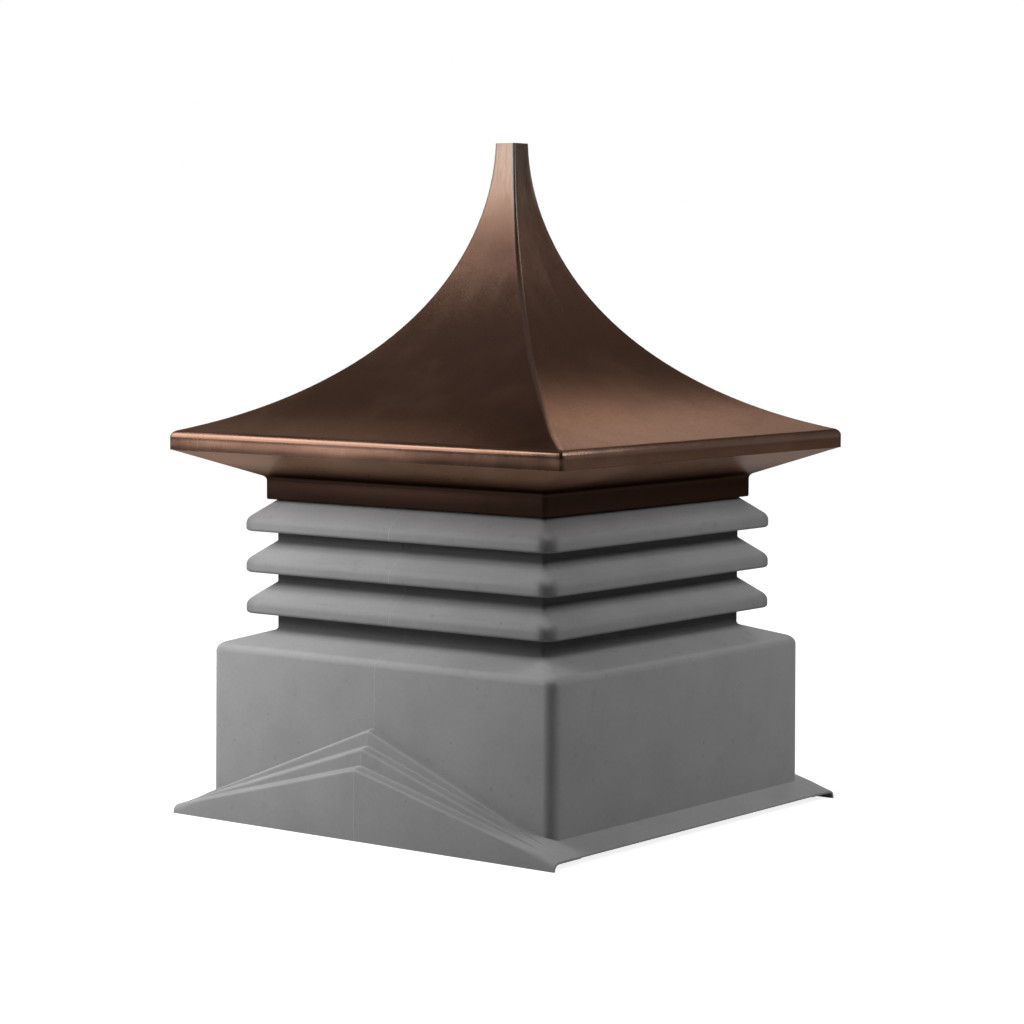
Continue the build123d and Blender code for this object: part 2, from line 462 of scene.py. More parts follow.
class Streaks(EffectGroup):
    """Fine drawn lines that run up and down, and long soft runs of weather."""

    def __init__(self) -> None:
        """Builds the group."""
        super().__init__(
            "streaks", {"Line Scale": 240.0, "Run Scale": 26.0},
            {"Lines": "NodeSocketFloat", "Runs": "NodeSocketFloat"},
        )
        for scale, squeeze, output in (("Line Scale", 0.05, "Lines"), ("Run Scale", 0.13, "Runs")):
            stretched = self.make.add("ShaderNodeMapping", {
                "Vector": self.place, "Scale": (1.0, 1.0, squeeze),
            })
            texture = self.make.add("ShaderNodeTexNoise", {
                "Vector": stretched.outputs[0], "Scale": self.given[scale], "Detail": 4.0, "Roughness": 0.6,
            })
            self.make.feed(self.result[output], texture.outputs["Fac"])


class PlanDistance(EffectGroup):
    """Where a point of the cupola lies, and how it faces.

    Half is its distance from the middle toward the nearest side, Across its distance from the
    ridge's plane, Level its height, and Corner its distance to the nearest hip. Right is above 0
    on the right side alone. Tilt is 1 where the surface faces up.
    """

    def __init__(self) -> None:
        """Builds the group."""
        super().__init__(
            "plan_distance", {}, {
                "Half": "NodeSocketFloat", "Across": "NodeSocketFloat", "Level": "NodeSocketFloat",
                "Corner": "NodeSocketFloat", "Right": "NodeSocketFloat", "Tilt": "NodeSocketFloat",
            },
        )
        x, y, z = self.make.add("ShaderNodeSeparateXYZ", {0: self.place}).outputs
        wide = self.make.math("ABSOLUTE", x)
        deep = self.make.math("ABSOLUTE", y)
        half = self.make.math("MAXIMUM", wide, deep)
        self.make.feed(self.result["Half"], half)
        self.make.feed(self.result["Across"], wide)
        self.make.feed(self.result["Level"], z)
        least = self.make.math("MINIMUM", wide, deep)
        self.make.feed(self.result["Corner"], self.make.math("SUBTRACT", half, least))
        self.make.feed(self.result["Right"], self.make.math("SUBTRACT", x, deep))
        facing = self.make.add("ShaderNodeTexCoord").outputs["Normal"]
        tilt = self.make.add("ShaderNodeSeparateXYZ", {0: facing}).outputs[2]
        self.make.feed(self.result["Tilt"], tilt)


@dataclass(frozen=True)
class Effects:
    """The shared effect groups."""

    mottle: Mottle
    streaks: Streaks
    plan: PlanDistance


class Finish:
    """A material with one Principled surface, and short calls to feed it."""

    def __init__(self, name: str) -> None:
        """Makes the material.

        Args:
            name: the material's name.
        """
        self.material = bpy.data.materials.new(name)
        self.material.use_nodes = True
        self.make = NodeMaker(self.material.node_tree)
        self.surface = self.material.node_tree.nodes["Principled BSDF"]
        self.place = self.make.add("ShaderNodeTexCoord").outputs["Object"]

    def effect(
        self, group: EffectGroup, values: dict[str, float] | None = None,
    ) -> bpy.types.NodeOutputs:
        """Places an effect group in the material.

        Args:
            group: the shared group.
            values: this finish's own values for its inputs.

        Returns:
            The placed group's outputs.
        """
        node = self.make.add("ShaderNodeGroup", node_tree=group.tree)
        for key, value in (values or {}).items():
            node.inputs[key].default_value = value
        return node.outputs

    def set(self, values: dict[str, object]) -> None:
        """Sets or feeds the surface's inputs by name."""
        for key, value in values.items():
            self.make.feed(self.surface.inputs[key], value)

    def bump(self, height: object, strength: float, distance: float) -> None:
        """Feeds the surface's normal from a height.

        Args:
            height: the height's socket.
            strength: how strongly it counts.
            distance: the depth that a height of 1 stands for.
        """
        node = self.make.add("ShaderNodeBump", {
            "Strength": strength, "Distance": distance, "Height": height,
        })
        self.make.feed(self.surface.inputs["Normal"], node.outputs[0])


@dataclass(frozen=True)
class Spots:
    """A noise that marks a surface: its texture, the values it ramps between, and its gain."""

    scale: float
    detail: float
    rough: float
    reach: Point
    gain: float

    def mask(self, finish: Finish) -> bpy.types.NodeSocket:
        """The mask, 1 in the middle of a spot."""
        value = finish.make.noise(finish.place, self.scale, self.detail, self.rough)
        return finish.make.ramp(value, *self.reach)


@dataclass(frozen=True)
class MouldedGrey:
    """Mid grey moulded polymer: satin, lightly mottled, painted lighter where it faces up and with
    painted shade in the grooves.

    The louvre tiers carry painted shade, darker than the box, their noses more so, with more
    painted shade at each nose's corners.
    A reach, tilt or levels pair is where a ramp gives 0 and 1. A gain pair is a gain and an offset.
    """

    colour: Colour = (0.235, 0.235, 0.237)
    # Painted shade: the grooves between the louvre tiers are painted near black.
    groove_shade_colour: Colour = (0.012, 0.012, 0.012)
    seam_colour: Colour = (0.5, 0.5, 0.5)
    cloud_scale: float = 11.0
    speckle_scale: float = 170.0
    skin_scale: float = 1100.0
    cloud_gain: Point = (0.30, 0.85)
    speckle_gain: Point = (0.14, 0.93)
    smudges: Spots = Spots(31.0, 6.0, 0.62, (0.60, 0.74), -0.13)
    dots: Spots = Spots(105.0, 1.0, 0.3, (0.765, 0.80), -0.20)
    # Painted shade: the tiers darker, their noses more so, the noses' corners most.
    tier_levels: Point = (0.292, 0.306)
    tier_shade: float = 0.12
    nose_reach: Point = (0.290, 0.303)
    nose_shade: float = 0.08
    nose_corner_shade_reach: Point = (0.034, 0.008)
    nose_corner_shade: float = 0.28
    # Painted light: faces that face up are painted lighter.
    top_light_tilt: Point = (0.40, 0.84)
    top_light: float = 0.22
    groove_reach: Point = (0.272, 0.263)
    groove_levels: Point = (0.286, 0.505)
    groove_soft: float = 0.004
    groove_shade_share: float = 0.45
    seam_half_width: float = 0.0011
    seam_share: float = 0.22
    roughness: float = 0.58
    cloud_rough: float = 0.16
    smudge_rough: float = 0.12
    shine_gain: Point = (-0.18, 0.20)
    skin_height: float = 0.25
    cloud_height: float = 0.9
    seam_height: float = 0.8
    bump_strength: float = 0.5
    bump_distance: float = 0.0006

    def brightness(
        self, finish: Finish, mottle: bpy.types.NodeOutputs, plan: bpy.types.NodeOutputs,
        smudge: bpy.types.NodeSocket,
    ) -> bpy.types.NodeSocket:
        """How light the grey is from place to place, with painted shade on the tiers, their noses and
        the noses' corners, and painted light on faces that face up.

        Args:
            finish: the finish.
            mottle: the placed mottle's outputs.
            plan: the placed plan distance's outputs.
            smudge: the mask of the smudges.

        Returns:
            The brightness, about 1.
        """
        make = finish.make
        lighter = make.scaled(mottle["Cloud"], *self.cloud_gain)
        value = make.times(lighter, make.scaled(mottle["Speckle"], *self.speckle_gain))
        value = make.times(value, make.scaled(smudge, self.smudges.gain, 1.0))
        value = make.times(value, make.scaled(self.dots.mask(finish), self.dots.gain, 1.0))
        # Painted shade on the tiers, their noses and the noses' corners.
        tiers = make.ramp(plan["Level"], *self.tier_levels)
        value = make.times(value, make.scaled(tiers, -self.tier_shade, 1.0))
        nose = make.times(make.ramp(plan["Half"], *self.nose_reach), tiers)
        nose_corner_shade = make.scaled(make.ramp(plan["Corner"], *self.nose_corner_shade_reach), -self.nose_corner_shade, -self.nose_shade)
        value = make.times(value, make.scaled(nose, nose_corner_shade, 1.0))
        # Painted light: faces that face up are painted lighter.
        return make.times(value, make.scaled(make.ramp(plan["Tilt"], *self.top_light_tilt), self.top_light, 1.0))

    def grooves(self, make: NodeMaker, plan: bpy.types.NodeOutputs) -> bpy.types.NodeSocket:
        """The mask of the grooves between the louvre tiers, where shade is painted in.

        Args:
            make: the material's node maker.
            plan: the placed plan distance's outputs.

        Returns:
            The mask, 1 deep in a groove.
        """
        low, high = self.groove_levels
        above = make.ramp(plan["Level"], low - self.groove_soft, low + self.groove_soft)
        below = make.ramp(plan["Level"], high + self.groove_soft, high - self.groove_soft)
        return make.times(make.ramp(plan["Half"], *self.groove_reach), make.times(above, below))

    def material(self, effects: Effects) -> bpy.types.Material:
        """Builds the finish.

        Args:
            effects: the shared effect groups.

        Returns:
            The material.
        """
        finish = Finish("moulded_grey")
        make = finish.make
        mottle = finish.effect(effects.mottle, {
            "Cloud Scale": self.cloud_scale, "Speckle Scale": self.speckle_scale,
            "Skin Scale": self.skin_scale,
        })
        plan = finish.effect(effects.plan)
        smudge = self.smudges.mask(finish)
        value = self.brightness(finish, mottle, plan, smudge)
        tone = make.add("ShaderNodeHueSaturation", {"Value": value, "Color": (*self.colour, 1.0)}).outputs[0]
        seam = make.ramp(plan["Across"], self.seam_half_width, 0.0)
        tone = make.mix(make.times(seam, self.seam_share), tone, self.seam_colour)
        # Painted shade in the grooves, which also dims their shine.
        groove = self.grooves(make, plan)
        colour = make.mix(make.times(groove, self.groove_shade_share), tone, self.groove_shade_colour)
        rough = make.scaled(mottle["Cloud"], self.cloud_rough, self.roughness - self.cloud_rough / 2)
        rough = make.scaled(smudge, self.smudge_rough, rough)
        shine = make.scaled(groove, *self.shine_gain)
        finish.set({"Base Color": colour, "Roughness": rough, "Specular IOR Level": shine})
        clouds = make.times(mottle["Cloud"], self.cloud_height)
        height = make.scaled(mottle["Skin"], self.skin_height, clouds)
        finish.bump(make.scaled(seam, self.seam_height, height), self.bump_strength, self.bump_distance)
        return finish.material


@dataclass(frozen=True)
class BrownCopper:
    """Copper sheet gone dark brown, brushed and duller toward the tip, with painted light on the
    soffit under the eaves and painted shade on the collar.

    The hips and the right fascia's top edge carry a painted pale sheen. The other three fascias
    have a painted shade band under the rolled edge and are darker toward the foot. A reach, half
    or levels pair is where a ramp gives 0 and 1, and a gain pair is a gain and an offset.
    """

    colour: Colour = (0.162, 0.089, 0.063)
    warm: Colour = (0.30, 0.175, 0.125)
    solder: Colour = (0.090, 0.082, 0.075)
    dull: Colour = (0.096, 0.0555, 0.039)
    tip: Colour = (0.081, 0.0565, 0.0445)
    # Painted light: the soffit is painted much lighter than the sheet.
    under: Colour = (0.50, 0.285, 0.19)
    # Painted sheen on the hips and on the right fascia's top edge.
    painted_sheen: Colour = (0.27, 0.165, 0.125)
    dark: Colour = (0.060, 0.033, 0.024)
    # Painted shade on the collar and on the fascias.
    shade_brown: Colour = (0.030, 0.0155, 0.011)
    edge_tint: Colour = (0.50, 0.435, 0.40)
    cloud_scale: float = 5.5
    cloud_reach: Point = (0.44, 0.66)
    run_reach: Point = (0.46, 0.72)
    run_gain: Point = (0.55, 0.45)
    worn_share: float = 0.35
    solder_share: float = 0.8
    band_share: float = 0.75
    band_shade_and_hem_share: float = 0.65
    line_reach: Point = (0.35, 0.75)
    line_share: float = 0.18
    fascia_line_gain: Point = (-0.7, 1.0)
    cove_gain: Point = (0.8, 0.5)
    fascia_half: Point = (0.3765, 0.3795)
    right_reach: Point = (0.0, 0.01)
    under_level: Point = (0.5765, 0.5745)
    under_half: Point = (0.262, 0.345)
    cove_levels: Point = (0.526, 0.542)
    solder_reach: Point = (0.0065, 0.0020)
    solder_levels: Point = (0.84, 1.02)
    dull_levels: Point = (0.74, 0.96)
    tip_levels: Point = (0.90, 1.02)
    rim_levels: Point = (0.587, 0.592)
    band_levels: tuple[float, float, float, float] = (0.589, 0.592, 0.5958, 0.5972)
    hem_levels: Point = (0.5845, 0.5745)
    hip_reach: Point = (0.0085, 0.003)
    hip_levels: Point = (0.90, 0.80)
    roughness: float = 0.30
    line_rough: float = 0.16
    cloud_rough: float = 0.08
    joint_rough: float = 0.12
    fascia_rough: float = -0.11
    metallic: float = 0.93
    joint_metal: float = -0.3
    under_metal: float = -0.3
    fascia_bump_gain: Point = (-0.25, 0.35)
    cloud_height: float = 1.4
    bump_strength: float = 0.35
    bump_distance: float = 0.0009

    def weathered_and_painted(
        self, make: NodeMaker, worn: bpy.types.NodeSocket, plan: bpy.types.NodeOutputs,
        fascia: bpy.types.NodeSocket, joint: bpy.types.NodeSocket,
    ) -> bpy.types.NodeSocket:
        """The sheet's colour, with its duller tip and soldered joints, a painted pale sheen on the hips
        and the right fascia's top edge, and painted shade on the other fascias.

        Args:
            make: the material's node maker.
            worn: the mask of the warmer, worn clouds.
            plan: the placed plan distance's outputs.
            fascia: the mask of the fascia.
            joint: the mask of the soldered joints near the tip.

        Returns:
            The colour.
        """
        level, corner = plan["Level"], plan["Corner"]
        colour = make.mix(make.times(worn, self.worn_share), self.colour, self.warm)
        rim = make.times(fascia, make.ramp(level, *self.rim_levels))
        colour = make.mix(make.math("MAXIMUM", rim, make.ramp(level, *self.dull_levels)), colour, self.dull)
        colour = make.mix(make.ramp(level, *self.tip_levels), colour, self.tip)
        colour = make.mix(make.times(joint, self.solder_share), colour, self.solder)
        # Painted sheen: the hips and the right fascia's top edge are painted paler.
        hips = make.times(make.ramp(corner, *self.hip_reach), make.ramp(level, *self.hip_levels))
        hips = make.times(hips, make.without(fascia))
        right = make.ramp(plan["Right"], *self.right_reach)
        colour = make.mix(make.math("MAXIMUM", hips, make.times(rim, right)), colour, self.painted_sheen)
        # Painted shade: a dark band under the rolled edge; the fascia is also darker toward the foot; both
        # on every fascia but the right one.
        low, start, end, high = self.band_levels
        band = make.times(make.ramp(level, low, start), make.ramp(level, high, end))
        hem = make.ramp(level, *self.hem_levels)
        band_shade_and_hem = make.math("MAXIMUM", make.times(band, self.band_share), hem)
        band_shade_and_hem = make.times(make.times(band_shade_and_hem, fascia), make.without(right))
        return make.mix(make.times(band_shade_and_hem, self.band_shade_and_hem_share), colour, self.shade_brown)

    def outward(
        self, make: NodeMaker, mottle: bpy.types.NodeOutputs, plan: bpy.types.NodeOutputs,
    ) -> bpy.types.NodeSocket:
        """How far out under the eaves a point is, where the soffit is painted lighter.

        Args:
            make: the material's node maker.
            mottle: the placed mottle's outputs.
            plan: the placed plan distance's outputs.

        Returns:
            The mask, 0 on the collar.
        """
        mask = make.times(
            make.ramp(plan["Half"], *self.under_half), make.ramp(plan["Level"], *self.cove_levels),
        )
        return make.times(mask, make.scaled(mottle["Cloud"], *self.cove_gain))

    def material(self, effects: Effects) -> bpy.types.Material:
        """Builds the finish.

        Args:
            effects: the shared effect groups.

        Returns:
            The material.
        """
        finish = Finish("brown_copper")
        make = finish.make
        mottle = finish.effect(effects.mottle, {"Cloud Scale": self.cloud_scale})
        streaks = finish.effect(effects.streaks)
        plan = finish.effect(effects.plan)
        cloud = make.ramp(mottle["Cloud"], *self.cloud_reach)
        runs = make.ramp(streaks["Runs"], *self.run_reach)
        worn = make.times(cloud, make.scaled(runs, *self.run_gain))
        fascia = make.ramp(plan["Half"], *self.fascia_half)
        joint = make.times(
            make.ramp(plan["Corner"], *self.solder_reach), make.ramp(plan["Level"], *self.solder_levels),
        )
        colour = self.weathered_and_painted(make, worn, plan, fascia, joint)
        lines = make.times(make.ramp(streaks["Lines"], *self.line_reach), self.line_share)
        lines = make.times(lines, make.scaled(fascia, *self.fascia_line_gain))
        colour = make.mix(lines, colour, self.dark)
        outward = self.outward(make, mottle, plan)
        below = make.times(make.ramp(plan["Level"], *self.under_level), make.without(fascia))
        # Painted shade on the collar, painted light on the soffit further out.
        colour = make.mix(below, colour, make.mix(outward, self.shade_brown, self.under))
        rough = make.scaled(streaks["Lines"], self.line_rough, self.roughness - self.line_rough / 2)
        rough = make.scaled(cloud, self.cloud_rough, rough)
        rough = make.scaled(joint, self.joint_rough, rough)
        rough = make.scaled(fascia, self.fascia_rough, rough)
        metal = make.scaled(joint, self.joint_metal, self.metallic)
        metal = make.scaled(make.times(below, outward), self.under_metal, metal)
        finish.set({"Base Color": colour, "Roughness": rough, "Metallic": metal})
        finish.set({"Specular Tint": (*self.edge_tint, 1.0)})
        fine = make.times(streaks["Lines"], make.scaled(fascia, *self.fascia_bump_gain))
        height = make.scaled(mottle["Cloud"], self.cloud_height, fine)
        finish.bump(height, self.bump_strength, self.bump_distance)
        return finish.material


# ---------------------------------------------------------------- the moulded body


@dataclass
class RidgeSaddle:
    """The flared foot: three ledges down each gable side and a plain flange along each eave."""

    wall: float = 0.003
    box_half: float = 0.3368
    box_corner: float = 0.020
    reaches: tuple[float, float, float] = (0.3525, 0.3675, 0.383499)
    apexes: tuple[float, float, float] = (0.166, 0.140, 0.1115)
    pitches: tuple[float, float, float] = (0.402, 0.334, 0.257)
    ledge_fall: float = 0.2
    eave_half: float = 0.373
    eave_top: float = 0.031
    eave_fall: float = 0.52
    edge_round: float = 0.005
    root_round: float = 0.003
    tip_round: float = 0.0135
    foot_share: Point = (0.70, 0.92)
    ridge_round: float = 0.0025
    ridge_places: tuple[float, ...] = (0.0, 0.0015, 0.004, 0.008)
    corner_places: tuple[float, ...] = (0.005, 0.009, 0.012, 0.0145, 0.0162, 0.017)
    flat_start: float = 0.02
    flat_stations: int = 22
    outer_gap: float = 0.004
    outer_stations: int = 12
    swell_reach: float = 0.03
    least_fall: float = 4e-5
    slanted_wall: float = 1.07
    inner_root: float = 0.6
    corner_steps: int = 5
    flange_inside: float = 0.3
    flange_round: float = 0.0009
    flange_steps: int = 4
    flange_stations: int = 17

    def surface(self, step: int, x: float, y: float) -> float:
        """The level of a ledge, or of the eave slope where that is lower.

        Args:
            step: 0 for the top ledge to 2 for the lowest.
            x: the distance across from the ridge.
            y: the distance out from the middle.

        Returns:
            The level of the outer skin.
        """
        across = math.sqrt(x * x + self.ridge_round**2) - self.ridge_round
        previous = self.reaches[step - 1] if step else self.box_half
        ledge = self.apexes[step] - self.pitches[step] * across - self.ledge_fall * (y - previous)
        eave = self.eave_top - self.eave_fall * (across - self.box_half)
        return min(ledge, eave)

    def inner_edge(self, x: float) -> float:
        """Where the apron's sheet starts: along the inside of the box, with its rounded corner.

        Args:
            x: the place across.

        Returns:
            The distance out from the middle.
        """
        inside = self.box_corner - self.wall
        centre = self.box_half - self.box_corner
        beyond = abs(x) - centre
        if beyond <= 0:
            return centre + inside
        return centre + math.sqrt(max(inside**2 - beyond**2, 0.0))

    def section(self, x: float) -> list[Corner]:
        """The apron's closed section at one place across.

        Args:
            x: the place, from -eave_half to eave_half.

        Returns:
            The points of the section, as (x, y, z) of the front apron.
        """
        last = self.reaches[-1]
        lowest = len(self.reaches) - 1
        start = self.inner_edge(x)
        swell = smooth_step(self.box_half - self.swell_reach, self.eave_half, abs(x))
        tip = self.edge_round + (self.tip_round - self.edge_round) * swell
        outer = [(out, self.surface(0, x, out), 0.0) for out in (start, self.box_half)]
        for step, reach in enumerate(self.reaches):
            level = self.surface(step, x, reach)
            if step:
                root = self.surface(step, x, self.reaches[step - 1])
                root = min(root, outer[-1][1] - self.least_fall)
                outer.append((self.reaches[step - 1], root, self.root_round))
            radius = tip if step == lowest else self.edge_round
            outer.append((reach, min(level, outer[-1][1] - self.least_fall), radius))
        outer.append((last, 0.0, 0.0))
        thin = self.wall * self.slanted_wall
        inner = [(start, outer[0][1] - thin, 0.0), (self.box_half, outer[1][1] - thin, 0.0)]
        for step, reach in enumerate(self.reaches):
            depth = reach - self.wall
            if step:
                before = self.reaches[step - 1] - self.wall
                root = self.surface(step, x, before) - thin
                inner.append((before, min(root, inner[-1][1] - self.least_fall), self.edge_round))
            level = self.surface(step, x, depth) - thin
            radius = tip - self.wall if step == lowest else self.root_round * self.inner_root
            inner.append((depth, min(level, inner[-1][1] - self.least_fall), radius))
        inner.append((last - self.wall, 0.0, 0.0))
        path = rounded_path(outer, self.corner_steps, self.foot_share)
        path += rounded_path(inner, self.corner_steps, self.foot_share)[::-1]
        return [(x, -y, z) for y, z in path]

    def stations(self) -> list[float]:
        """Places across for the apron's sections: close at the ridge, the box's corners and the tips.

        Returns:
            The places, from the left tip to the right one.
        """
        centre = self.box_half - self.box_corner
        half = [*self.ridge_places, *np.linspace(self.flat_start, centre, self.flat_stations)]
        half += [centre + step for step in self.corner_places]
        outermost = np.linspace(self.box_half + self.outer_gap, self.eave_half, self.outer_stations)
        half += [self.box_half, *outermost]
        return [-x for x in reversed(half[1:])] + half

    def build(self, material: bpy.types.Material) -> None:
        """Builds both aprons and both flanges.

        Args:
            material: the body's finish.
        """
        apron = np.array([self.section(x) for x in self.stations()])
        for side in (Side.FRONT, Side.BACK):
            mesh = grid_mesh(turned(apron, side.turn), ring=False)
            finish_piece(mesh, f"stepped_apron_{side.label}", material, [f"gable_wall_{side.label}"])
        inside = self.box_half - self.wall
        span = self.box_half - self.box_corner
        drop = self.wall * self.slanted_wall
        high = self.surface(0, inside, self.flange_inside)
        low = self.surface(0, self.eave_half, self.flange_inside)
        path = rounded_path([
            (inside, high, 0.0), (self.eave_half, low, self.flange_round),
            (self.eave_half, low - drop, self.flange_round), (inside, high - drop, 0.0),
        ], self.flange_steps)
        places = np.linspace(-span, span, self.flange_stations)
        rows = np.array([[(x, y, z) for x, z in path] for y in places])
        for side in (Side.RIGHT, Side.LEFT):
            mesh = grid_mesh(turned(rows, side.turn - Side.RIGHT.turn), ring=False)
            finish_piece(mesh, f"flange_{side.label}", material, [f"eave_flange_{side.label}"])


@dataclass
class BoxAndShoulder:
    """The box walls, and the shoulder that draws them in to the neck."""

    saddle: RidgeSaddle
    draft: float = math.radians(0.31)
    shoulder_top: float = 0.2667
    shoulder_round: float = 0.015
    neck_half: float = 0.2625
    neck_corner: float = 0.006
    neck_start: float = 0.2891
    neck_round: float = 0.006
    corner_steps: int = 12
    round_steps: int = 9
    wall_middle: float = 0.5

    def section(self, inset: float, foot: float, top: float) -> list[Corner]:
        """The wall's path from its foot to the neck.

        Args:
            inset: 0 for the outside, the wall's thickness for the inside.
            foot: the level that the path starts at.
            top: the level that it ends at.

        Returns:
            (half, corner radius, level) of each point.
        """
        saddle = self.saddle
        upper = saddle.box_half - self.shoulder_top * math.tan(self.draft)
        slope = (self.neck_start - self.shoulder_top) / (upper - self.neck_half)
        drop = inset * (math.sqrt(1 + slope**2) - slope)
        lower = saddle.box_half - foot * math.tan(self.draft)
        path = rounded_path([
            (lower - inset, foot, 0.0),
            (upper - inset, self.shoulder_top - drop, self.shoulder_round - inset),
            (self.neck_half - inset, self.neck_start - drop, self.neck_round + inset),
            (self.neck_half - inset, top, 0.0),
        ], self.round_steps)
        widest, narrowest = path[0][0], self.neck_half - inset
        corners = []
        for half, level in path:
            share = (half - narrowest) / (widest - narrowest)
            radius = self.neck_corner + (saddle.box_corner - self.neck_corner) * share
            corners.append((half, max(radius - inset, LEAST_CORNER), level))
        return corners

    def plan(self, half: float, corner: float) -> list[Point]:
        """The plan outline at one level, with three points along the flat of each side.

        Args:
            half: distance to the flats.
            corner: corner radius.

        Returns:
            The outline's points, counterclockwise.
        """
        outline = []
        centre = half - corner
        for quarter in range(4):
            turn = quarter * QUARTER
            points = [(half, 0.0), (half, centre / 2)]
            for step in range(self.corner_steps + 1):
                angle = step / self.corner_steps * math.pi / 2
                points.append((centre + corner * math.cos(angle), centre + corner * math.sin(angle)))
            points.append((centre / 2, half))
            for x, y in points:
                outline.append((
                    x * math.cos(turn) - y * math.sin(turn), x * math.sin(turn) + y * math.cos(turn),
                ))
        return outline

    def build(self, material: bpy.types.Material) -> None:
        """Builds the walls as one closed shell.

        Args:
            material: the body's finish.
        """
        saddle = self.saddle
        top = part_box("louvre_lower_front")[0][2]
        foot = saddle.eave_top
        loop = self.section(0.0, foot, top) + self.section(saddle.wall, foot, top)[::-1]
        layers = [self.plan(*point[:2]) for point in loop]
        rows = np.zeros((len(layers[0]), len(loop), 3))
        for j, (layer, point) in enumerate(zip(layers, loop)):
            for k, (x, y) in enumerate(layer):
                rows[k, j] = (x, y, point[2])
                if j in (0, len(loop) - 1):
                    rows[k, j, 2] = saddle.surface(0, x, abs(y)) - saddle.wall * self.wall_middle
        stands_for = [f"eave_wall_{side.label}" for side in (Side.RIGHT, Side.LEFT)]
        stands_for += [f"shoulder_{side.label}" for side in Side]
        finish_piece(grid_mesh(rows, ring=True), "box_and_shoulder", material, stands_for)


@dataclass
class LouvreStack:
    """The three louvre tiers, one section carried round and repeated upward."""

    wall: float = 0.003
    neck_half: float = 0.2625
    neck_corner: float = 0.006
    nose_half: float = 0.303
    nose_corner: float = 0.024
    first_lip: float = 0.3163
    lip_drop: float = 0.0037
    nose_height: float = 0.0188
    slope: float = 0.7315
    pitch: float = 0.0648
    nose_round: float = 0.016
    lip_round: float = 0.005
    root_round: float = 0.008
    least_round: float = 0.001
    round_steps: int = 7
    corner_steps: int = 14

    def skin(self, inset: float) -> list[Corner]:
        """One skin of a tier, from its foot to its top.

        Args:
            inset: 0 for the outside, the wall's thickness for the inside.

        Returns:
            (half, corner radius, level) of each point.
        """
        low, high = (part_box("louvre_lower_front")[k][2] for k in range(2))
        nose_top = self.first_lip + self.nose_height
        slope_top = nose_top + self.slope * (self.nose_half - self.neck_half)
        drop = inset * (math.sqrt(1 + self.slope**2) - self.slope)
        narrow, wide = self.neck_half - inset, self.nose_half - inset
        path = rounded_path([
            (narrow, low, 0.0), (narrow, self.first_lip - self.lip_drop + inset, self.lip_round / 2),
            (wide, self.first_lip + inset, max(self.lip_round - inset, self.least_round)),
            (wide, nose_top - drop, max(self.nose_round - inset, self.least_round)),
            (narrow, slope_top - drop, self.root_round), (narrow, high, 0.0),
        ], self.round_steps)
        skin = []
        for half, level in path:
            share = (half - narrow) / (wide - narrow)
            corner = self.neck_corner + (self.nose_corner - self.neck_corner) * share
            skin.append((half, max(corner - inset, LEAST_CORNER), level))
        return skin

    def build(self, rings: RingTree, material: bpy.types.Material) -> None:
        """Builds the three tiers.

        Args:
            rings: the tree that carries a section round.
            material: the body's finish.
        """
        section = self.skin(0.0) + self.skin(self.wall)[::-1]
        mesh = rings.mesh(section, material, self.corner_steps, repeats=len(Tier), pitch=self.pitch)
        nodes = [f"louvre_{tier.value}_{side.label}" for tier in Tier for side in Side]
        finish_piece(mesh, "louvre_tiers", material, nodes)


# ---------------------------------------------------------------- the copper roof


@dataclass
class CopperSkirt:
    """The collar round the neck, and the soffit that coves out of it to the fascia."""

    sheet: float = 0.002
    hem: float = 0.0045
    hem_round: float = 0.003
    collar_corner: float = 0.008
    edge_corner: float = 0.0015
    meet: float = 0.530
    cove: float = 0.012
    bend_round: float = 0.001
    hem_steps: int = 4
    cove_steps: int = 10

    def build(self, rings: RingTree, material: bpy.types.Material) -> None:
        """Builds the collar and the soffit.

        Args:
            rings: the tree that carries a section round.
            material: the copper's finish.
        """
        low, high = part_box("collar_front")
        half = -low[1]
        inner, rolled = half - self.sheet, half - self.hem
        collar = rounded_path([
            (inner, high[2], 0.0), (inner, low[2] + 3 * self.hem, self.bend_round),
            (rolled, low[2] + 2 * self.hem, self.bend_round), (rolled, low[2], self.hem_round / 2),
            (half, low[2], self.hem_round), (half, high[2], 0.0),
        ], self.hem_steps)
        section = [(h, self.collar_corner - (half - h), z) for h, z in collar]
        mesh = rings.mesh(section, material)
        finish_piece(mesh, "rolled_collar", material, [f"collar_{side.label}" for side in Side])
        edge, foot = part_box("soffit_front")[1][0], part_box("roof_panel_front")[0][2]
        slope = (foot - self.meet) / (edge - half)
        rise = self.sheet * math.sqrt(1 + slope**2)
        outside = rounded_path([
            (half, high[2], 0.0), (half, self.meet, self.cove), (edge, foot, 0.0),
        ], self.cove_steps)
        inside = rounded_path([
            (inner, high[2], 0.0), (inner, self.meet + rise - self.sheet * slope, self.cove + self.sheet),
            (edge, foot + rise, 0.0),
        ], self.cove_steps)
        section = []
        for h, z in outside + inside[::-1]:
            share = (h - half) / (edge - half)
            corner = self.collar_corner + (self.edge_corner - self.collar_corner) * share
            section.append((h, corner, z))
        mesh = rings.mesh(section, material)
        finish_piece(mesh, "coved_soffit", material, [f"soffit_{side.label}" for side in Side])


